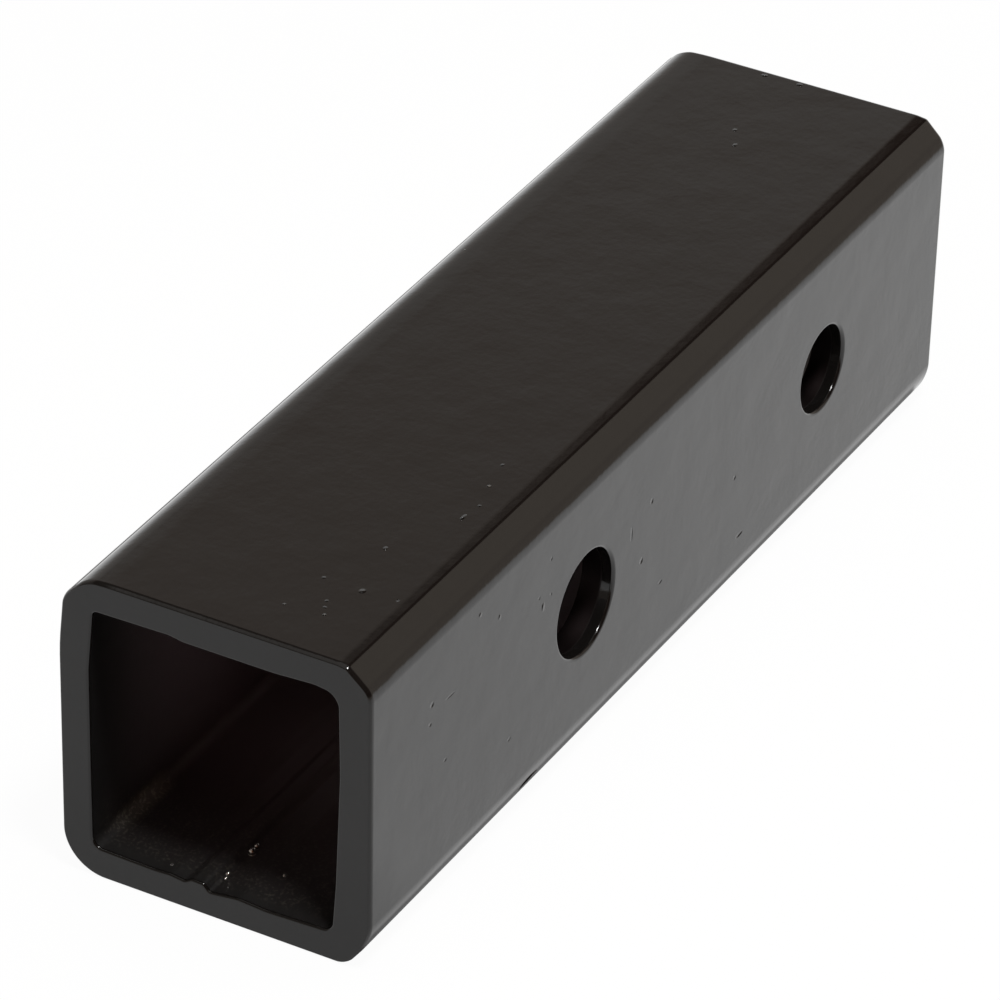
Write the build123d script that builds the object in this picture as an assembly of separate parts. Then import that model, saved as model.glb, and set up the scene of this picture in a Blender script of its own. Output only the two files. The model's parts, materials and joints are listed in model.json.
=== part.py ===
from build123d import *
import math
import os

# A hitch receiver adapter: one length of welded square steel tube, drilled through
# both side walls for two hitch pins and coated black. Sizes are in millimetres.
#
# The tube lies on one of its flats, as it would on a bench. X runs along it, from
# the end nearer the receiver's pin (-X) to the end nearer the shank's pin (+X).
# The pins go through along Y, Z is up, and the origin is the middle of the underside.
# The back wall is the one at +Y, and the pin side, at -Y, is the one in full view.

# The tube
WIDTH = 50.8                # across the flats, both ways: two inch square tube
LENGTH = 177.8              # seven inches, along the top
FAR_END_LEAN = 1.2          # the far end was sawn out of square, so the underside is shorter
WALL = 5.0                  # three sixteenths wall, with its coat on both faces
INSIDE_SHIFT_Y = 0.1        # the inside sits off the middle, towards the back wall
INSIDE_SHIFT_Z = -0.2       # and towards the underside

# The creased corner, between the top and the pin side, from the top round to the side
CREASE_SHOULDER = 5.3       # where the top begins to fall towards the crease
CREASE_SHOULDER_ROUND = 4.0
CREASE_IN = 3.7             # the crease itself: in from the pin side
CREASE_DROP = 0.23          # and below the top
CREASE_ROUND = 1.0
CREASE_SIDE_LEG = 3.85      # where the flat slope under the crease would meet the pin side
CREASE_SIDE_ROUND = 3.8

# The back top corner, pressed nearly flat, with the back wall leaning in under it
LEAN_START = 12.5           # how far below the top the back wall starts to lean
LEAN_ROUND = 40.0
BACK_LEAN = 0.8             # how far it has leant in where the pressed flat begins
BACK_LEG = 3.7              # the pressed flat: its reach down the back wall
BACK_LEG_ROUND = 3.8
BACK_TOP_LEG = 4.4          # and across the top
BACK_TOP_ROUND = 5.0

# The two lower corners: one pressed flat under the pin side, one a plain round
LOWER_SIDE_LEG = 5.6
LOWER_SIDE_ROUND = 3.6
LOWER_FLOOR_LEG = 4.2
LOWER_FLOOR_ROUND = 3.1
ROUND_CORNER = 7.0

# The inside corners
INSIDE_BACK_TOP = 1.2
INSIDE_PIN_TOP = 3.0
INSIDE_PIN_FLOOR = 2.6
INSIDE_BACK_FLOOR = 1.8

# The two pin bores, each measured from the end it belongs to
RECEIVER_PIN = 15.9         # the five eighths pin that holds the tube in the receiver
RECEIVER_PIN_CLEARANCE = 0.8
RECEIVER_PIN_FROM_END = 61.7
SHANK_PIN = 12.7            # the half inch pin that holds a smaller shank in the tube
SHANK_PIN_CLEARANCE = 1.3
SHANK_PIN_FROM_END = 40.8
PIN_RISE = 1.6              # the bores' centres above the middle of the side
RIM_ROUND = 0.6             # coat and deburring round each bore's outer rim

# The inside seam bead, left by the weld along the bottom wall
BEAD_WIDTH = 3.6
BEAD_HEIGHT = 0.65
BEAD_FROM_MIDDLE = 2.9      # towards the back wall
BEAD_ROOT = 1.0             # how deep its foot sits in the wall

# The sawn ends
END_ROUND = 0.5             # coated outer edge
MOUTH_ROUND = 0.4           # coated inner edge

HALF = WIDTH / 2


def rounded_face(corners):
    """A flat face from (point, radius) pairs, each corner rounded by its own radius."""
    points = [point for point, _ in corners]
    radii = [radius for _, radius in corners]
    return make_face(FilletPolyline(*points, radius=radii, close=True))


def outer_outline():
    """The outside of the section, from the back wall over the top and round."""
    return rounded_face([
        ((HALF, WIDTH - LEAN_START), LEAN_ROUND),
        ((HALF - BACK_LEAN, WIDTH - BACK_LEG), BACK_LEG_ROUND),
        ((HALF - BACK_TOP_LEG, WIDTH), BACK_TOP_ROUND),
        ((CREASE_SHOULDER - HALF, WIDTH), CREASE_SHOULDER_ROUND),
        ((CREASE_IN - HALF, WIDTH - CREASE_DROP), CREASE_ROUND),
        ((-HALF, WIDTH - CREASE_SIDE_LEG), CREASE_SIDE_ROUND),
        ((-HALF, LOWER_SIDE_LEG), LOWER_SIDE_ROUND),
        ((LOWER_FLOOR_LEG - HALF, 0), LOWER_FLOOR_ROUND),
        ((HALF, 0), ROUND_CORNER),
    ])


def inner_outline():
    """The inside of the section: a square, slightly off the middle, with four unlike corners."""
    reach = HALF - WALL
    back = INSIDE_SHIFT_Y + reach
    front = INSIDE_SHIFT_Y - reach
    floor = HALF + INSIDE_SHIFT_Z - reach
    ceiling = HALF + INSIDE_SHIFT_Z + reach
    return rounded_face([
        ((back, ceiling), INSIDE_BACK_TOP),
        ((front, ceiling), INSIDE_PIN_TOP),
        ((front, floor), INSIDE_PIN_FLOOR),
        ((back, floor), INSIDE_BACK_FLOOR),
    ])


def far_end_at(z):
    """Where the far end lies along X at a height z."""
    return LENGTH / 2 - FAR_END_LEAN * (1 - z / WIDTH)


def end_faces(tube):
    """The two sawn faces."""
    faces = tube.faces().sort_by(Axis.X)
    return [faces[0], faces[-1]]


def bare_tube():
    """The tube as sawn, with both ends rounded over by the coat."""
    start = Plane.YZ.offset(-LENGTH / 2)
    tube = extrude(start * (outer_outline() - inner_outline()), LENGTH)
    lean = math.atan2(FAR_END_LEAN, WIDTH)
    sawn = Plane(origin=(LENGTH / 2, 0, WIDTH), z_dir=(math.cos(lean), 0, -math.sin(lean)))
    tube = split(tube, bisect_by=sawn, keep=Keep.BOTTOM)
    outer_edges = [edge for face in end_faces(tube) for edge in face.outer_wire().edges()]
    tube = fillet(outer_edges, END_ROUND)
    mouths = [wire for face in end_faces(tube) for wire in face.inner_wires()]
    return fillet([edge for mouth in mouths for edge in mouth.edges()], MOUTH_ROUND)


def pin_bore(tube, x, diameter):
    """Drill one pin bore through both side walls at x, and round its outer rims."""
    radius = diameter / 2
    drill = Pos(x, 0, HALF + PIN_RISE) * Rot(90, 0, 0) * Cylinder(radius, 2 * WIDTH)
    tube = tube - drill
    rims = [
        edge for edge in tube.edges().filter_by(GeomType.CIRCLE)
        if abs(edge.radius - radius) < 1e-4
        and abs(edge.arc_center.X - x) < 1e-4
        and abs(abs(edge.arc_center.Y) - HALF) < 1e-4
    ]
    return fillet(rims, RIM_ROUND)


def seam_bead():
    """The low ridge of weld along the inside of the bottom wall, from mouth to mouth."""
    floor = WALL + INSIDE_SHIFT_Z
    left = (BEAD_FROM_MIDDLE - BEAD_WIDTH / 2, floor)
    right = (BEAD_FROM_MIDDLE + BEAD_WIDTH / 2, floor)
    crest = ThreePointArc(left, (BEAD_FROM_MIDDLE, floor + BEAD_HEIGHT), right)
    root = Polyline(right, (right[0], floor - BEAD_ROOT), (left[0], floor - BEAD_ROOT), left)
    near_end = MOUTH_ROUND - LENGTH / 2
    reach = far_end_at(floor - BEAD_ROOT) - MOUTH_ROUND - near_end
    return extrude(Plane.YZ.offset(near_end) * make_face([crest, root]), reach)


def receiver_tube():
    tube = bare_tube()
    tube = pin_bore(tube, RECEIVER_PIN_FROM_END - LENGTH / 2, RECEIVER_PIN + RECEIVER_PIN_CLEARANCE)
    tube = pin_bore(tube, LENGTH / 2 - SHANK_PIN_FROM_END, SHANK_PIN + SHANK_PIN_CLEARANCE)
    return tube + seam_bead()


os.makedirs("parts", exist_ok=True)
export_step(receiver_tube(), "parts/receiver_tube.step")
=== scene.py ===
import bpy
import bmesh
import json
import math
from mathutils import Matrix, Vector

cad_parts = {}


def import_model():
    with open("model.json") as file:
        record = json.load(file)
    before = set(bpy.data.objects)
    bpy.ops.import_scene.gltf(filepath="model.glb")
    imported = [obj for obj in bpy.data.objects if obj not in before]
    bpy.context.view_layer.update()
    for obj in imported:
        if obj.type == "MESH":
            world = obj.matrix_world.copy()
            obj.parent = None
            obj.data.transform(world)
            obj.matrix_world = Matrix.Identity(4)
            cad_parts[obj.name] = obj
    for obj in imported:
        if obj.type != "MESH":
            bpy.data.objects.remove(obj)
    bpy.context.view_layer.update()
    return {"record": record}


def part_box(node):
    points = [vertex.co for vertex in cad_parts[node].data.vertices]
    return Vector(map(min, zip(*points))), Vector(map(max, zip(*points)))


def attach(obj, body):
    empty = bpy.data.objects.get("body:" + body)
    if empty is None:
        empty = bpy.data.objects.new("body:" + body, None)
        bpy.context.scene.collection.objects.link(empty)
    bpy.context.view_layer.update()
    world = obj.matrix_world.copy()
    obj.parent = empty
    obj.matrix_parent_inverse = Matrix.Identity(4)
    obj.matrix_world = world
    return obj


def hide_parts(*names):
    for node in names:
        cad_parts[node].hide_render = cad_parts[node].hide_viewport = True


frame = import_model()

MM = 0.001

# The tube's overall size and its pin bores, from the frame
LOW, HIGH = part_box("receiver_tube")
WIDTH = HIGH[1] - LOW[1]
HEIGHT = HIGH[2] - LOW[2]
HALF = WIDTH / 2
NEAR_END = LOW[0]
BORES = [mount for mount in frame["record"]["mounts"] if mount["kind"] == "bore"]

LENGTH = 177.8 * MM          # along the top
FAR_END = NEAR_END + LENGTH
FAR_END_LEAN = 1.2 * MM      # the far end was sawn out of square, so the underside is shorter

# The outside corners of the section, where its sides would meet, as (y, z)
LEAN_FOOT = (HALF, HEIGHT - 12.5 * MM)
LEAN_HEAD = (HALF - 0.8 * MM, HEIGHT - 4.0 * MM)
BACK_TOP = (HALF - 4.7 * MM, HEIGHT - 0.26 * MM)
TOP_ROLL = (HALF - 7.8 * MM, HEIGHT)
SHOULDER = (5.3 * MM - HALF, HEIGHT)
CREASE = (3.87 * MM - HALF, HEIGHT - 0.23 * MM)
CREASE_FOOT = (-HALF, HEIGHT - 3.6 * MM)
LOWER_SIDE = (-HALF, 5.25 * MM)
LOWER_FLOOR = (3.95 * MM - HALF, 0)
BACK_FLOOR = (HALF, 0)
# Each of them with its radius
OUTSIDE = [
    (LEAN_FOOT, 40 * MM),
    (LEAN_HEAD, 3.8 * MM),
    (BACK_TOP, 5.0 * MM),
    (TOP_ROLL, 30 * MM),
    (SHOULDER, 4.0 * MM),
    (CREASE, 1.0 * MM),
    (CREASE_FOOT, 3.4 * MM),
    (LOWER_SIDE, 8.0 * MM),
    (LOWER_FLOOR, 3.1 * MM),
    (BACK_FLOOR, 7.0 * MM),
]
# How far some corners have moved by the far end: the crease runs nearer the side, and the
# pressed corners grow fuller
DRIFT = {
    CREASE: (-0.37 * MM, 0),
    LEAN_HEAD: (0, 0.57 * MM),
    BACK_TOP: (0.57 * MM, 0),
    LOWER_SIDE: (0, -0.57 * MM),
    LOWER_FLOOR: (-0.43 * MM, 0),
}

# The inside corners and their radii, in millimetres. The walls are a little uneven, and a weld
# bead runs along the floor
INSIDE = [
    ((20.5, 17.0), 12.0),
    ((20.5, 35.4), 12.0),
    ((19.6, 45.6), 0.9),
    ((7.0, 45.85), 6.0),
    ((4.8, 45.45), 6.0),
    ((-10.0, 45.45), 12.0),
    ((-16.3, 45.85), 6.0),
    ((-20.05, 45.35), 2.4),
    ((-20.3, 32.0), 30.0),
    ((-19.7, 13.4), 30.0),
    ((-19.15, 5.05), 1.6),
    ((-8.6, 4.6), 12.0),
    ((-3.8, 4.95), 4.0),
    ((0.9, 4.3), 0.8),
    ((1.9, 5.4), 0.8),
    ((3.8, 5.45), 0.9),
    ((4.9, 4.75), 0.8),
    ((7.4, 5.05), 3.0),
    ((10.0, 4.9), 4.0),
    ((20.4, 5.1), 1.7),
]
CUT_PAST = 10 * MM           # how far the cutter runs past each end
THINNEST_WALL = 3.75 * MM    # no point of the mouth is nearer the outside than this

# The outer edge of a sawn end, taken off along two lines that the coat has softened
END_IN = 0.32 * MM           # in from the outline, on the end's face
END_ALONG = 0.26 * MM        # and back along the tube
END_ALONG_FILED = 0.6 * MM   # further back along the top and the pin side, where the burr was filed off
FILED_BLEND = 4 * MM         # over this width, at the two corners between
END_FACE_SOFT = 0.1 * MM
END_LINE_SOFT = 0.28 * MM
# Other edges softened by the coat
MOUTH_ROUND = 0.4 * MM
RIM_ROUND = 0.6 * MM
FACET = 4                    # degrees that a facet of a long round turns
SMOOTH_UNDER = 35            # degrees

# Weld spatter on the floor of the near mouth, in millimetres: where from the near end and from the
# middle, and its radius
SPATTER = [
    (10.9, 0.45, 0.62),
    (12.3, 0.5, 0.45),
    (4.5, 0.5, 0.42),
    (3.4, 0.2, 0.3),
    (8.3, -6.5, 0.2),
    (2.2, 8.4, 0.2),
]
SPATTER_FLOOR = 4.85


def only(obj):
    """Make obj the one selected and active object."""
    bpy.ops.object.select_all(action="DESELECT")
    obj.select_set(True)
    bpy.context.view_layer.objects.active = obj


def near(a, b, slack=1e-6):
    return abs(a - b) < slack


def drawn_bar(name, corners, start, end):
    """A bar along X from start to end, drawn from its section's corners and left in edit mode."""
    bpy.ops.object.select_all(action="DESELECT")
    bpy.ops.mesh.primitive_circle_add(vertices=len(corners), radius=HALF, fill_type="NGON",
                                      location=(start, 0, HALF), rotation=(0, math.pi / 2, 0))
    obj = bpy.context.active_object
    obj.name = name
    bpy.ops.object.transform_apply(location=True, rotation=True, scale=True)
    bpy.ops.object.mode_set(mode="EDIT")
    for i, ((y, z), _) in enumerate(corners):
        bpy.ops.mesh.select_all(action="DESELECT")
        mesh = bmesh.from_edit_mesh(obj.data)
        mesh.verts.ensure_lookup_table()
        mesh.verts[i].select = True
        bpy.ops.transform.translate(value=Vector((start, y, z)) - mesh.verts[i].co)
    bpy.ops.mesh.select_all(action="SELECT")
    bpy.ops.mesh.extrude_region_move(TRANSFORM_OT_translate={"value": (end - start, 0, 0)})
    bpy.ops.mesh.select_all(action="SELECT")
    bpy.ops.mesh.normals_make_consistent(inside=False)
    return obj


def pick_edges(obj, test):
    """Select the edges of obj, in edit mode, whose two ends pass the test."""
    bpy.ops.mesh.select_mode(type="EDGE")
    bpy.ops.mesh.select_all(action="DESELECT")
    mesh = bmesh.from_edit_mesh(obj.data)
    for edge in mesh.edges:
        if test(edge.verts[0].co, edge.verts[1].co):
            edge.select = True
    mesh.select_flush_mode()
    bmesh.update_edit_mesh(obj.data)


def bevel_picked(reach, segments):
    """Round the picked edges of the object in edit mode."""
    bpy.ops.mesh.bevel(offset=reach, offset_type="OFFSET", segments=segments, profile=0.5,
                       clamp_overlap=False)


def move_vertices(obj, test, shift):
    """Move each vertex of obj, in edit mode, that passes the test by shift of its place."""
    mesh = bmesh.from_edit_mesh(obj.data)
    moves = [(v.index, shift(v.co)) for v in mesh.verts if test(v.co)]
    bpy.ops.mesh.select_mode(type="VERT")
    for index, value in moves:
        bpy.ops.mesh.select_all(action="DESELECT")
        mesh = bmesh.from_edit_mesh(obj.data)
        mesh.verts.ensure_lookup_table()
        mesh.verts[index].select = True
        bpy.ops.transform.translate(value=value)


def drift_corners(obj, end, drift):
    """Move some corners of a bar at its end, each by its own amount."""
    for (y, z), moved in drift.items():
        def at_corner(p):
            return near(p.x, end) and near(p.y, y) and near(p.z, z)
        move_vertices(obj, at_corner, lambda p: (0, *moved))


def long_edge_at(y, z):
    """A test for the edge that runs along the tube and starts at (y, z)."""
    def test(a, b):
        start = min(a, b, key=lambda p: p.x)
        return near(start.y, y) and near(start.z, z) and not near(a.x, b.x)
    return test


def turn_at(before, point, after):
    """How far the outline turns at a point of the section, in radians."""
    a = Vector(point) - Vector(before)
    b = Vector(after) - Vector(point)
    return a.angle(b)


def round_long_edges(obj, corners):
    """Round each long edge of a bar, in edit mode, by its own radius."""
    points = [point for point, _ in corners]
    for i, (point, radius) in enumerate(corners):
        turn = turn_at(points[i - 1], point, points[(i + 1) % len(points)])
        pick_edges(obj, long_edge_at(*point))
        bevel_picked(radius * math.tan(turn / 2), max(2, round(math.degrees(turn) / FACET)))


def far_face_at(z):
    """Where the far end's face lies along X at a height z."""
    return FAR_END - FAR_END_LEAN * (1 - z / HEIGHT)


def on_near_end(p):
    return near(p.x, NEAR_END)


def on_far_end(p):
    return near(p.x, far_face_at(p.z), 5e-6)


def take_edge_off(obj, on_face, inward):
    """Take the outer edge off a sawn end, inward being 1 at the near end and -1 at the far end."""
    bpy.ops.mesh.select_mode(type="FACE")
    bpy.ops.mesh.select_all(action="DESELECT")
    mesh = bmesh.from_edit_mesh(obj.data)
    for face in mesh.faces:
        face.select = all(on_face(v.co) for v in face.verts)
    bmesh.update_edit_mesh(obj.data)
    bpy.ops.mesh.inset(thickness=END_IN, depth=0)
    mesh = bmesh.from_edit_mesh(obj.data)
    inner = [v.co.copy() for face in mesh.faces if face.select for v in face.verts]

    def on_outline(p):
        return on_face(p) and not any((p - q).length < 1e-6 for q in inner)

    def back(p):
        # p's place across the line from the back top corner to the pin side's lower corner
        across = (p.z - HALF - p.y) / FILED_BLEND
        filed = min(max(0.5 + across / 2, 0), 1)
        return (inward * (END_ALONG + filed * (END_ALONG_FILED - END_ALONG)), 0, 0)

    def on_moved_line(a, b):
        faces = [NEAR_END if inward > 0 else far_face_at(p.z) for p in (a, b)]
        moved = [inward * (p.x - face) for p, face in zip((a, b), faces)]
        return all(END_ALONG / 2 < m < 2 * END_ALONG_FILED for m in moved)

    move_vertices(obj, on_outline, back)
    pick_edges(obj, on_moved_line)
    bevel_picked(END_LINE_SOFT, segments=5)
    pick_edges(obj, lambda a, b: on_face(a) and on_face(b))
    bevel_picked(END_FACE_SOFT, segments=3)


def steel_body():
    """The tube's outside, still solid, with its corners as the rolls left them and both ends sawn."""
    obj = drawn_bar("coated_tube", OUTSIDE, NEAR_END, FAR_END)
    drift_corners(obj, FAR_END, DRIFT)
    round_long_edges(obj, OUTSIDE)
    bpy.ops.mesh.select_all(action="SELECT")
    lean = Vector((HEIGHT, 0, -FAR_END_LEAN)).normalized()
    bpy.ops.mesh.bisect(plane_co=(FAR_END, 0, HEIGHT), plane_no=lean, use_fill=True, clear_outer=True,
                        threshold=1e-6)
    take_edge_off(obj, on_near_end, 1)
    take_edge_off(obj, on_far_end, -1)
    bpy.ops.object.mode_set(mode="OBJECT")
    return obj


def inside_cutter():
    """The space inside the tube, run past both ends."""
    corners = [((y * MM, z * MM), radius * MM) for (y, z), radius in INSIDE]
    obj = drawn_bar("inside_cutter", corners, NEAR_END - CUT_PAST, FAR_END + CUT_PAST)
    round_long_edges(obj, corners)
    bpy.ops.object.mode_set(mode="OBJECT")
    return obj


def bore_cutter(mount):
    """A drill through both side walls."""
    x, _, z = mount["pos_m"]
    radius = mount["dims"]["r_mm"] * MM
    bpy.ops.object.select_all(action="DESELECT")
    bpy.ops.mesh.primitive_cylinder_add(vertices=96, radius=radius, depth=2 * WIDTH, location=(x, 0, z),
                                        rotation=(math.pi / 2, 0, 0))
    obj = bpy.context.active_object
    bpy.ops.object.transform_apply(location=True, rotation=True, scale=True)
    return obj


def spatter_drop(x, y, radius):
    """A drop of weld spatter, half sunk in the floor inside the near mouth."""
    bpy.ops.object.select_all(action="DESELECT")
    bpy.ops.mesh.primitive_uv_sphere_add(segments=16, ring_count=10, radius=radius * MM,
                                         location=(NEAR_END + x * MM, y * MM, SPATTER_FLOOR * MM))
    obj = bpy.context.active_object
    bpy.ops.object.transform_apply(location=True, rotation=True, scale=True)
    return obj


def combine(obj, tool, operation):
    """Cut tool out of obj, or join it on, then delete it."""
    only(obj)
    step = obj.modifiers.new("combine", "BOOLEAN")
    step.operation = operation
    step.solver = "EXACT"
    step.object = tool
    bpy.ops.object.modifier_apply(modifier=step.name)
    bpy.data.objects.remove(tool, do_unlink=True)


def round_edges(obj, test, reach, segments):
    """Round the edges of obj, in object mode, that pass the test."""
    only(obj)
    bpy.ops.object.mode_set(mode="EDIT")
    pick_edges(obj, test)
    bevel_picked(reach, segments)
    bpy.ops.object.mode_set(mode="OBJECT")


def on_mouth(a, b):
    """Whether an edge from a to b is part of the outline of a mouth."""
    for p in (a, b):
        depth = HALF - max(abs(p.y), abs(p.z - HALF))
        if depth < THINNEST_WALL or not (on_near_end(p) or on_far_end(p)):
            return False
    return near(a.x, b.x, 2 * FAR_END_LEAN)


def rim_of(mount):
    """A test for the edges of a bore's two outer rims."""
    x, _, z = mount["pos_m"]
    radius = mount["dims"]["r_mm"] * MM

    def on_rim(p):
        return near(abs(p.y), HALF, 1e-5) and near(math.hypot(p.x - x, p.z - z), radius, 2e-5)

    return lambda a, b: on_rim(a) and on_rim(b)


def coated_tube():
    """The whole tube: its outside, cut out inside and drilled, with every edge softened."""
    obj = steel_body()
    combine(obj, inside_cutter(), "DIFFERENCE")
    for mount in BORES:
        combine(obj, bore_cutter(mount), "DIFFERENCE")
    for mount in BORES:
        round_edges(obj, rim_of(mount), RIM_ROUND, segments=5)
    round_edges(obj, on_mouth, MOUTH_ROUND, segments=4)
    for drop in SPATTER:
        combine(obj, spatter_drop(*drop), "UNION")
    only(obj)
    bpy.ops.object.shade_smooth_by_angle(angle=math.radians(SMOOTH_UNDER))
    step = obj.modifiers.new("flats", "WEIGHTED_NORMAL")
    step.keep_sharp = True
    step.weight = 100
    bpy.ops.object.modifier_apply(modifier=step.name)
    return obj


def wire(tree, source, target):
    """Feed a socket from another socket, a number or a colour."""
    if isinstance(source, bpy.types.NodeSocket):
        tree.links.new(source, target)
    else:
        target.default_value = source


def calc(tree, operation, *values, clamp=False):
    node = tree.nodes.new("ShaderNodeMath")
    node.operation = operation
    node.use_clamp = clamp
    for socket, value in zip(node.inputs, values):
        wire(tree, value, socket)
    return node.outputs[0]


def vector_calc(tree, operation, *values):
    node = tree.nodes.new("ShaderNodeVectorMath")
    node.operation = operation
    for socket, value in zip(node.inputs, values):
        wire(tree, value, socket)
    return node.outputs["Value"] if operation == "LENGTH" else node.outputs["Vector"]


def fade(tree, value, start, end):
    """Smoothly from 0 where value is at start to 1 where it is at end."""
    node = tree.nodes.new("ShaderNodeMapRange")
    node.interpolation_type = "SMOOTHSTEP"
    wire(tree, value, node.inputs["Value"])
    node.inputs["From Min"].default_value = start
    node.inputs["From Max"].default_value = end
    return node.outputs["Result"]


def between(tree, value, edges):
    """Smoothly 1 between the two middle edges and 0 beyond the two outer ones."""
    rise = fade(tree, value, edges[0], edges[1])
    return calc(tree, "MULTIPLY", rise, fade(tree, value, edges[3], edges[2]))


def diagonal(tree, a, b):
    """The length of the diagonal of a rectangle with sides a and b."""
    return calc(tree, "SQRT", calc(tree, "MULTIPLY_ADD", a, a, calc(tree, "MULTIPLY", b, b)))


def past(tree, value, limit):
    """How far value lies past limit, to either side of 0, and less than 0 where it is within."""
    return calc(tree, "SUBTRACT", calc(tree, "ABSOLUTE", value), limit)


def blend_colours(tree, factor, first, second):
    node = tree.nodes.new("ShaderNodeMix")
    node.data_type = "RGBA"
    wire(tree, factor, node.inputs[0])
    wire(tree, first, node.inputs[6])
    wire(tree, second, node.inputs[7])
    return node.outputs[2]


def noise(tree, vector, scale, detail=2.0):
    node = tree.nodes.new("ShaderNodeTexNoise")
    wire(tree, vector, node.inputs["Vector"])
    node.inputs["Scale"].default_value = scale
    node.inputs["Detail"].default_value = detail
    return node.outputs["Fac"]


def add_bump(tree, height, distance, normal=None):
    node = tree.nodes.new("ShaderNodeBump")
    node.inputs["Distance"].default_value = distance
    wire(tree, height, node.inputs["Height"])
    if normal:
        wire(tree, normal, node.inputs["Normal"])
    return node.outputs[0]


def grey(level):
    return (level, level, level, 1)


# The coat, and the duller steel inside, where the spray hardly reached
COAT = (0.006, 0.0054, 0.005, 1)
COAT_ROUGHNESS = 0.13
COAT_IOR = 1.5
INSIDE_STEEL = (0.15, 0.105, 0.112, 1)
INSIDE_ROUGHNESS = 0.5
BORE_STEEL = (0.024, 0.018, 0.018, 1)   # dark scale in the bores, beyond the reach of the spray
BORE_ROUGHNESS = 0.55
SPATTER_STEEL = (0.85, 0.83, 0.80, 1)
SPATTER_EDGE = (0.1, 0.02)              # millimetres round a drop over which its steel fades in
# Depths below the tube's outside, or distances from something, over which one passes to the next
SPRAY_REACH = (1.8 * MM, 2.3 * MM)      # into a bore
INNER_WALLS = (4.1 * MM, 4.25 * MM)
BORE_WALL = (0.05 * MM, 0.3 * MM)       # round a bore
END_FACE = (0.3 * MM, 0.6 * MM)         # in from an end
SPRAY_FADE = (0, 40 * MM)               # along the inside, from an end
# The coat lies in low waves, with a fine orange peel over them
WAVE_LENGTH = 9 * MM
WAVE_HEIGHT = 0.1 * MM
PEEL_LENGTH = 1.1 * MM
PEEL_HEIGHT = 0.018 * MM

# Small marks in the coat, in millimetres. On the top: where from the near end and from the middle,
# how far each reaches both ways, and how strongly it stands out
TOP_MARKS = [
    (49.5, -15.7, 0.35, 0.35, 0.05),
    (40.6, -16.6, 0.9, 0.35, 0.03),
    (44.3, -17.1, 0.35, 0.3, 0.02),
    (55.3, -14.6, 0.4, 0.3, 0.02),
    (28.1, -11.2, 0.5, 0.4, 0.012),
    (8.8, -6.3, 0.3, 0.3, 0.03),
    (9.4, -12.4, 0.35, 0.3, 0.05),
    (11.0, -11.5, 0.3, 0.35, 0.03),
    (12.5, -10.9, 0.35, 0.3, 0.02),
    (17.3, -7.6, 0.35, 0.35, 0.02),
    (17.1, -13.9, 0.7, 0.6, 0.006),
    (17.6, -19.3, 0.35, 0.25, -0.02),
    (105.2, 20.2, 0.4, 0.4, 0.03),
    (158.3, 2.0, 0.5, 0.4, 0.02),
    (154.1, -0.2, 0.6, 0.4, 0.02),
    (176.2, 6.1, 0.5, 0.6, 0.03),
    (176.4, 0.0, 0.5, 0.6, 0.03),
]
# On the pin side: where from the near end and from the floor, and the rest as above
SIDE_MARKS = [
    (50.7, 41.0, 0.35, 0.35, -0.06),
    (50.8, 34.9, 0.35, 0.35, -0.05),
    (16.8, 35.9, 0.6, 0.5, -0.012),
    (22.0, 34.4, 1.6, 0.22, -0.005),
    (39.2, 16.6, 0.6, 0.35, -0.03),
    (20.7, 24.2, 0.5, 0.3, -0.012),
    (16.3, 32.8, 0.5, 0.35, -0.010),
    (35.8, 39.6, 0.4, 0.5, 0.02),
    (108.1, 23.1, 0.5, 0.4, -0.04),
    (110.5, 11.6, 1.2, 0.4, -0.030),
    (84.8, 17.6, 0.7, 0.3, -0.050),
    (81.3, 33.8, 0.5, 0.5, -0.02),
    (75.2, 31.4, 0.35, 1.4, -0.008),
    (78.5, 24.9, 0.6, 0.6, -0.015),
    (47.3, 36.2, 0.4, 0.3, -0.02),
    (48.6, 33.9, 0.5, 0.8, 0.02),
    (30.2, 43.2, 0.5, 0.4, 0.015),
]
MARK_DEPTH = 0.35            # how far a mark reaches into its face
MARK_STRENGTH = 30 * MM
# A chip on the pin side's lower corner: where, how far it reaches, and how strongly
CHIP = ((46.5, -25.0, 4.6), (3.2, 1.2, 1.2), 0.25)
# Light dust caught on some of the top's marks, and how far it reaches
DUSTY_MARKS = [(49.5, -15.7, 0.26), (9.4, -12.4, 0.14), (8.8, -6.3, 0.1)]
DUSTY_CORE = 0.4             # the share of that reach where the dust is thickest

# Dust inside the near mouth: thin over the floor, thicker along the corner under the back wall
DUST = (0.34, 0.31, 0.25, 1)
DUST_LENGTH = 0.5 * MM
DUST_GRAIN = (0.5, 0.68)     # the noise where it is bare, and where it is thickest
FLOOR_DUST = 0.10
FLOOR_DUST_HEIGHT = (14 * MM, 5 * MM)
FLOOR_DUST_EDGES = [NEAR_END + d * MM for d in (1, 4, 12, 30)]
CORNER_DUST = 0.8
CORNER_DUST_AT = (19.8 * MM, 5.4 * MM)
CORNER_DUST_REACH = (2.4 * MM, 0.4 * MM)
CORNER_DUST_EDGES = [NEAR_END + d * MM for d in (3, 15, 16, 21)]
CORNER_DUST_GRAIN = 0.6      # the share of it that lies in grains


def depth_in_wall(tree, y, z):
    """How far a point lies below the nearest of the tube's four outer faces."""
    from_sides = calc(tree, "SUBTRACT", HALF, calc(tree, "ABSOLUTE", y))
    from_top = calc(tree, "SUBTRACT", HALF, calc(tree, "ABSOLUTE", calc(tree, "SUBTRACT", z, HALF)))
    return calc(tree, "MINIMUM", from_sides, from_top)


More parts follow.
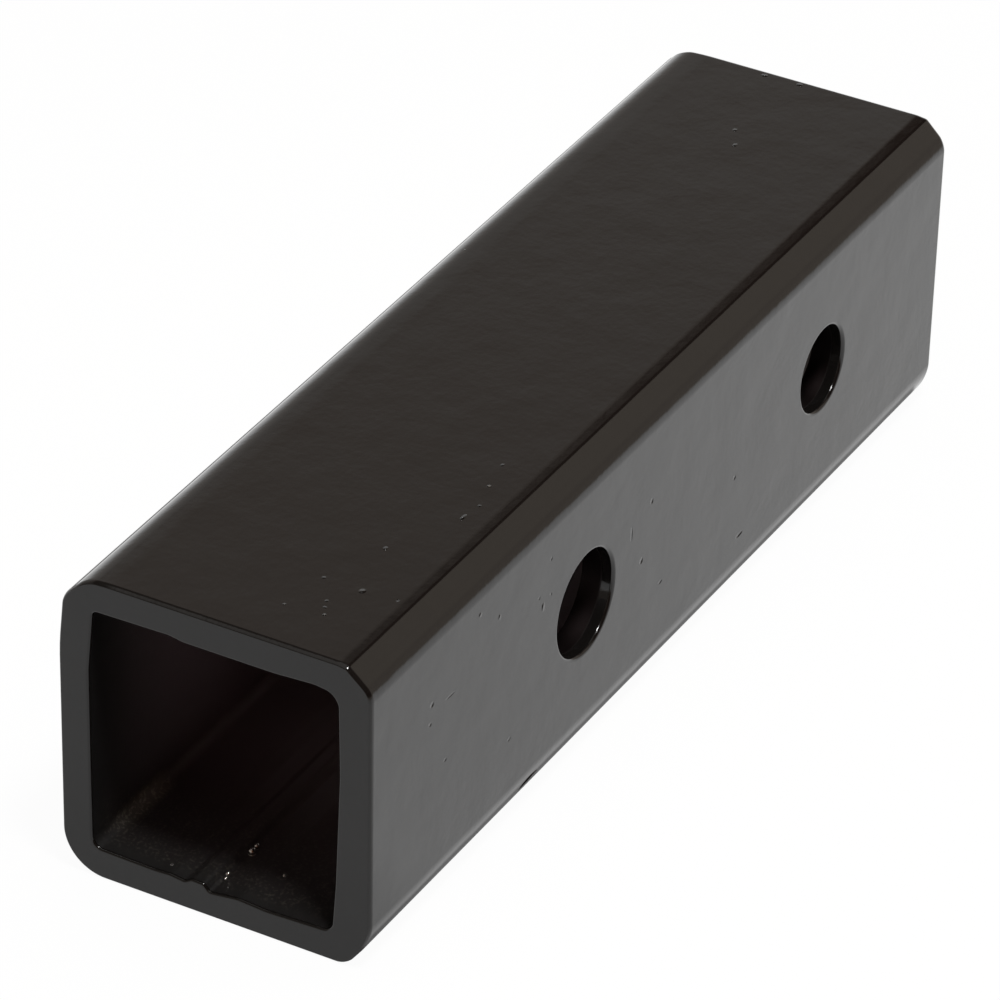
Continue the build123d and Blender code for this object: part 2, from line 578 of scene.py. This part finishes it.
def distance_from(tree, place, centre, reach=(1, 1, 1)):
    """How far a point is from a centre, counted in its reach along each axis; both in millimetres."""
    x, y, z = centre
    from_centre = vector_calc(tree, "SUBTRACT", place, (NEAR_END + x * MM, y * MM, z * MM))
    scaled = vector_calc(tree, "MULTIPLY", from_centre, [1 / (r * MM) for r in reach])
    return vector_calc(tree, "LENGTH", scaled)


def marks_height(tree, place):
    """How strongly the marks and the chip stand out of the coat."""
    marks = [CHIP]
    for x, y, along, across, strength in TOP_MARKS:
        marks.append(((x, y, HEIGHT / MM), (along, across, MARK_DEPTH), strength))
    for x, z, along, up, strength in SIDE_MARKS:
        marks.append(((x, -HALF / MM, z), (along, MARK_DEPTH, up), strength))
    total = 0.0
    for centre, reach, strength in marks:
        mark = fade(tree, distance_from(tree, place, centre, reach), 1, 0)
        total = calc(tree, "MULTIPLY_ADD", mark, strength, total)
    return total


def outside_bores(tree, x, z):
    """0 on the walls of the bores and 1 away from them."""
    clear = 1.0
    for mount in BORES:
        away = diagonal(tree, calc(tree, "SUBTRACT", x, mount["pos_m"][0]),
                        calc(tree, "SUBTRACT", z, mount["pos_m"][2]))
        radius = mount["dims"]["r_mm"] * MM
        clear = calc(tree, "MULTIPLY", clear, fade(tree, away, radius + BORE_WALL[0], radius + BORE_WALL[1]))
    return clear


def dust_inside(tree, place, x, y, z):
    """How much dust lies inside the near mouth."""
    grain = fade(tree, noise(tree, place, 1 / DUST_LENGTH, detail=4.0), *DUST_GRAIN)
    thin = calc(tree, "MULTIPLY", fade(tree, z, *FLOOR_DUST_HEIGHT), between(tree, x, FLOOR_DUST_EDGES))
    thin = calc(tree, "MULTIPLY", calc(tree, "MULTIPLY", thin, FLOOR_DUST), grain)
    away = diagonal(tree, calc(tree, "SUBTRACT", y, CORNER_DUST_AT[0]),
                    calc(tree, "SUBTRACT", z, CORNER_DUST_AT[1]))
    corner = calc(tree, "MULTIPLY", fade(tree, away, *CORNER_DUST_REACH), between(tree, x, CORNER_DUST_EDGES))
    grained = calc(tree, "MULTIPLY_ADD", grain, CORNER_DUST_GRAIN, 1 - CORNER_DUST_GRAIN)
    return calc(tree, "MULTIPLY_ADD", calc(tree, "MULTIPLY", corner, grained), CORNER_DUST, thin)


def dust_on_marks(tree, place, dust):
    """The dust so far, with that on the marks."""
    for x, y, reach in DUSTY_MARKS:
        away = distance_from(tree, place, (x, y, HEIGHT / MM), (reach, reach, reach))
        dust = calc(tree, "MAXIMUM", dust, fade(tree, away, 1, DUSTY_CORE))
    return dust


def spatter_steel(tree, place):
    """1 on the drops of spatter and 0 away from them."""
    spatter = 0.0
    for x, y, radius in SPATTER:
        away = distance_from(tree, place, (x, y, SPATTER_FLOOR))
        spatter = calc(tree, "MAXIMUM", spatter, fade(tree, away, *(radius + edge for edge in SPATTER_EDGE)))
    return spatter


def black_coat():
    """The coat and, where it is thin or missing, the steel under it."""
    material = bpy.data.materials.new("black_coat")
    material.use_nodes = True
    tree = material.node_tree
    shader = tree.nodes["Principled BSDF"]
    place = tree.nodes.new("ShaderNodeTexCoord").outputs["Object"]
    split = tree.nodes.new("ShaderNodeSeparateXYZ")
    wire(tree, place, split.inputs[0])
    x, y, z = split.outputs
    depth = depth_in_wall(tree, y, z)
    from_ends = calc(tree, "SUBTRACT", LENGTH / 2, calc(tree, "ABSOLUTE", x))
    past_face = fade(tree, from_ends, *END_FACE)
    inside = calc(tree, "MULTIPLY", fade(tree, depth, *INNER_WALLS), past_face)
    inside = calc(tree, "MULTIPLY", inside, outside_bores(tree, x, z))
    in_bore = calc(tree, "MULTIPLY", fade(tree, depth, *SPRAY_REACH), past_face)
    in_bore = calc(tree, "SUBTRACT", in_bore, inside, clamp=True)
    bare = calc(tree, "MULTIPLY", inside, fade(tree, from_ends, *SPRAY_FADE))
    dust = calc(tree, "MULTIPLY", inside, dust_inside(tree, place, x, y, z))
    spatter = spatter_steel(tree, place)

    colour = blend_colours(tree, bare, COAT, INSIDE_STEEL)
    colour = blend_colours(tree, dust_on_marks(tree, place, dust), colour, DUST)
    colour = blend_colours(tree, spatter, colour, SPATTER_STEEL)
    colour = blend_colours(tree, in_bore, colour, BORE_STEEL)
    roughness = calc(tree, "MULTIPLY_ADD", in_bore, BORE_ROUGHNESS - COAT_ROUGHNESS, COAT_ROUGHNESS)
    roughness = calc(tree, "MULTIPLY_ADD", inside, INSIDE_ROUGHNESS - COAT_ROUGHNESS, roughness)
    roughness = calc(tree, "MULTIPLY_ADD", spatter, COAT_ROUGHNESS - INSIDE_ROUGHNESS, roughness)
    normal = add_bump(tree, noise(tree, place, 1 / WAVE_LENGTH), WAVE_HEIGHT)
    normal = add_bump(tree, noise(tree, place, 1 / PEEL_LENGTH), PEEL_HEIGHT, normal)
    normal = add_bump(tree, marks_height(tree, place), MARK_STRENGTH, normal)
    wire(tree, colour, shader.inputs["Base Color"])
    wire(tree, calc(tree, "MAXIMUM", spatter, in_bore), shader.inputs["Metallic"])
    wire(tree, roughness, shader.inputs["Roughness"])
    wire(tree, normal, shader.inputs["Normal"])
    shader.inputs["IOR"].default_value = COAT_IOR
    return material


tube = coated_tube()
tube.data.materials.append(black_coat())
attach(tube, "root")
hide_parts("receiver_tube")


# The paper that the part lies on, in metres, as the camera sees it
PAPER = 0.92
PAPER_SIZE = 8
PAPER_WHITE = 0.96           # the share of pure white in it, over the share that keeps the shadow
# And as the coat reflects it: to those rays the paper glows, and its light and shade are painted into that
# glow. Before the near end it has one level, and each step along X, from one
# place to another, leads to the next: close to the near end (darker there, a painted shadow), beside it, and
# beside the far end
PAPER_BEFORE = 0.75
PAPER_STEPS = [
    (-0.12, -0.09, 0.68),
    (-0.09, -0.06, 0.965),
    (-0.07, 0.15, 1.10),
]
PAPER_FAR = (0.46, 0.40, 0.34, 1)        # further off it turns brown
PAPER_FADE = (0.12, 0.50)
PAPER_BEHIND = (1.0, 1.0, 1.0, 1)        # but behind the part its painted light reaches as far as it goes
PAPER_BEHIND_FADE = (HALF, 3 * HALF)
PAINTED_SHADOW_UNDER = 0.3                        # a painted shadow in the glow, under the part's corners
PAINTED_SHADOW_EDGE = (-1 * MM, 1 * MM)


def painted_paper_reflection(tree):
    """The paper's glow as the coat reflects it, with its light and shadow painted in."""
    place = tree.nodes.new("ShaderNodeSeparateXYZ")
    wire(tree, tree.nodes.new("ShaderNodeTexCoord").outputs["Object"], place.inputs[0])
    x, y, _ = place.outputs
    level = PAPER_BEFORE
    level_before = PAPER_BEFORE
    for start, end, level_after in PAPER_STEPS:
        level = calc(tree, "MULTIPLY_ADD", fade(tree, x, start, end), level_after - level_before, level)
        level_before = level_after
    past_end = past(tree, x, LENGTH / 2)
    past_side = past(tree, y, HALF)
    away = diagonal(tree, calc(tree, "MAXIMUM", past_end, 0.0), calc(tree, "MAXIMUM", past_side, 0.0))
    far = blend_colours(tree, fade(tree, y, *PAPER_BEHIND_FADE), PAPER_FAR, PAPER_BEHIND)
    # painted shadow: the glow dims under the part's corners
    lit = fade(tree, calc(tree, "MAXIMUM", past_end, past_side), *PAINTED_SHADOW_EDGE)
    light = tree.nodes.new("ShaderNodeEmission")
    wire(tree, blend_colours(tree, fade(tree, away, *PAPER_FADE), level, far), light.inputs["Color"])
    wire(tree, calc(tree, "MULTIPLY_ADD", lit, 1 - PAINTED_SHADOW_UNDER, PAINTED_SHADOW_UNDER), light.inputs["Strength"])
    return light.outputs[0]


def blend_shaders(tree, factor, first, second):
    node = tree.nodes.new("ShaderNodeMixShader")
    wire(tree, factor, node.inputs[0])
    wire(tree, first, node.inputs[1])
    wire(tree, second, node.inputs[2])
    return node.outputs[0]


def floor():
    """A pale floor. The camera sees it as white paper that keeps a faint shadow; the coat sees it as glowing
    paper, its light and shade painted.
    """
    bpy.ops.object.select_all(action="DESELECT")
    bpy.ops.mesh.primitive_plane_add(size=PAPER_SIZE)
    obj = bpy.context.active_object
    obj.name = "floor"
    material = bpy.data.materials.new("floor_paper")
    material.use_nodes = True
    tree = material.node_tree
    shader = tree.nodes["Principled BSDF"]
    shader.inputs["Base Color"].default_value = grey(PAPER)
    shader.inputs["Roughness"].default_value = 0.9
    shader.inputs["Specular IOR Level"].default_value = 0
    white = tree.nodes.new("ShaderNodeEmission")
    white.inputs["Color"].default_value = grey(1)
    path = tree.nodes.new("ShaderNodeLightPath").outputs
    paper = shader.outputs[0]
    seen = blend_shaders(tree, PAPER_WHITE, paper, white.outputs[0])
    surface = blend_shaders(tree, path["Is Camera Ray"], paper, seen)
    # The coat's reflections see the paper's painted glow, painted shadow included, not the lit paper
    surface = blend_shaders(tree, path["Is Glossy Ray"], surface, painted_paper_reflection(tree))
    wire(tree, surface, tree.nodes["Material Output"].inputs[0])
    obj.data.materials.append(material)


floor()


# The studio, as the coat reflects it. Heights are those of the direction, 0 level and 1 overhead,
# and angles are counted from +X in degrees
LOW_FRONT = (0.50, 0.43, 0.37, 1)
FRONT_PANEL = (0.60, 0.52, 0.44, 1)
FRONT_PANEL_FROM = (0.25, 0.45)
LOW_BACK = (0.75, 0.75, 0.75, 1)
MIDDLE_BACK = (0.43, 0.40, 0.375, 1)
MIDDLE_BACK_FROM = (-0.02, 0.20)
BACK_PANEL = (0.33, 0.278, 0.242, 1)
BACK_PANEL_FROM = (0.46, 0.56)
OVERHEAD = (0.06, 0.042, 0.032, 1)
OVERHEAD_FROM = (0.60, 0.72)
CEILING = (0.55, 0.52, 0.49, 1)
CEILING_FROM = (0.85, 0.90)
NEAR_WALL = (0.22, 0.19, 0.17, 1)        # past the near end
NEAR_WALL_ANGLES = (70, 95)
DARK = (0.05, 0.018, 0.008, 1)
GAP_ANGLES = (-27, -18, 13, 22)          # a dark gap between the front and the back panel
GAP_FROM = (0.35, 0.5)
DARK_FRONT_ANGLES = (-178, -160, -72, -52)


def world():
    """The studio round the part: only the coat sees it, and the camera sees white."""
    sky = bpy.data.worlds.new("studio")
    bpy.context.scene.world = sky
    sky.use_nodes = True
    tree = sky.node_tree
    way = tree.nodes.new("ShaderNodeSeparateXYZ")
    wire(tree, tree.nodes.new("ShaderNodeTexCoord").outputs["Generated"], way.inputs[0])
    x, y, z = way.outputs
    angle = calc(tree, "ARCTAN2", y, x)
    gap_edges = [math.radians(a) for a in GAP_ANGLES]
    dark_edges = [math.radians(a) for a in DARK_FRONT_ANGLES]
    near_wall_edges = [math.radians(a) for a in NEAR_WALL_ANGLES]
    front = blend_colours(tree, fade(tree, z, *FRONT_PANEL_FROM), LOW_FRONT, FRONT_PANEL)
    back = blend_colours(tree, fade(tree, z, *MIDDLE_BACK_FROM), LOW_BACK, MIDDLE_BACK)
    back = blend_colours(tree, fade(tree, z, *BACK_PANEL_FROM), back, BACK_PANEL)
    walls = blend_colours(tree, fade(tree, angle, gap_edges[0], gap_edges[3]), front, back)
    walls = blend_colours(tree, fade(tree, angle, *near_wall_edges), walls, NEAR_WALL)
    walls = blend_colours(tree, fade(tree, z, *OVERHEAD_FROM), walls, OVERHEAD)
    walls = blend_colours(tree, fade(tree, z, *CEILING_FROM), walls, CEILING)
    gap = calc(tree, "MULTIPLY", between(tree, angle, gap_edges), fade(tree, z, *GAP_FROM))
    dark = calc(tree, "MAXIMUM", gap, between(tree, angle, dark_edges))
    studio = blend_colours(tree, dark, walls, DARK)
    to_camera = tree.nodes.new("ShaderNodeLightPath").outputs["Is Camera Ray"]
    wire(tree, blend_colours(tree, to_camera, studio, grey(1)), tree.nodes["Background"].inputs["Color"])


world()


def softbox(name, direction, distance, size, power):
    """A round lamp that shines on the part from a direction."""
    lamp = bpy.data.lights.new(name, "AREA")
    lamp.shape = "DISK"
    lamp.size = size
    lamp.energy = power
    obj = bpy.data.objects.new(name, lamp)
    bpy.context.scene.collection.objects.link(obj)
    way = Vector(direction).normalized()
    obj.location = way * distance
    obj.rotation_euler = way.to_track_quat("Z", "Y").to_euler()
    return obj


key_light = softbox("key_light", (-0.207, -0.282, 0.937), 0.9, 0.16, 4.5)
top_light = softbox("top_light", (0.1, -0.2, 1.0), 1.4, 1.6, 10)
top_light.visible_glossy = False


# The camera at the photograph's place: in tube widths from the middle of the near end, its angles in
# degrees, and its focal length in picture widths
CAMERA_PLACE = (-12.1126, -7.5569, 10.1256)
AZIMUTH = -61.1408
ELEVATION = 32.8827
ROLL = 1.1328
FOCAL_LENGTH = 6.363854
SENSOR_WIDTH = 36


def camera():
    """The camera, and the scene's one view."""
    azimuth, elevation, roll = (math.radians(a) for a in (AZIMUTH, ELEVATION, ROLL))
    level_back = Vector((math.sin(azimuth), -math.cos(azimuth), 0))
    back = math.cos(elevation) * level_back + Vector((0, 0, math.sin(elevation)))
    right = (-back).cross(Vector((0, 0, 1))).normalized()
    up = right.cross(-back)
    rolled_right = math.cos(roll) * right + math.sin(roll) * up
    rolled_up = math.cos(roll) * up - math.sin(roll) * right
    data = bpy.data.cameras.new("camera")
    data.sensor_width = SENSOR_WIDTH
    data.lens = FOCAL_LENGTH * SENSOR_WIDTH
    data.clip_start, data.clip_end = 0.01, 20
    obj = bpy.data.objects.new("camera", data)
    bpy.context.scene.collection.objects.link(obj)
    place = Vector(CAMERA_PLACE) * WIDTH + Vector((NEAR_END, 0, HEIGHT / 2))
    turn = Matrix((rolled_right, rolled_up, back)).transposed().to_4x4()
    obj.matrix_world = Matrix.Translation(place) @ turn
    bpy.context.scene.camera = obj


camera()
bpy.context.scene.view_settings.view_transform = "Standard"
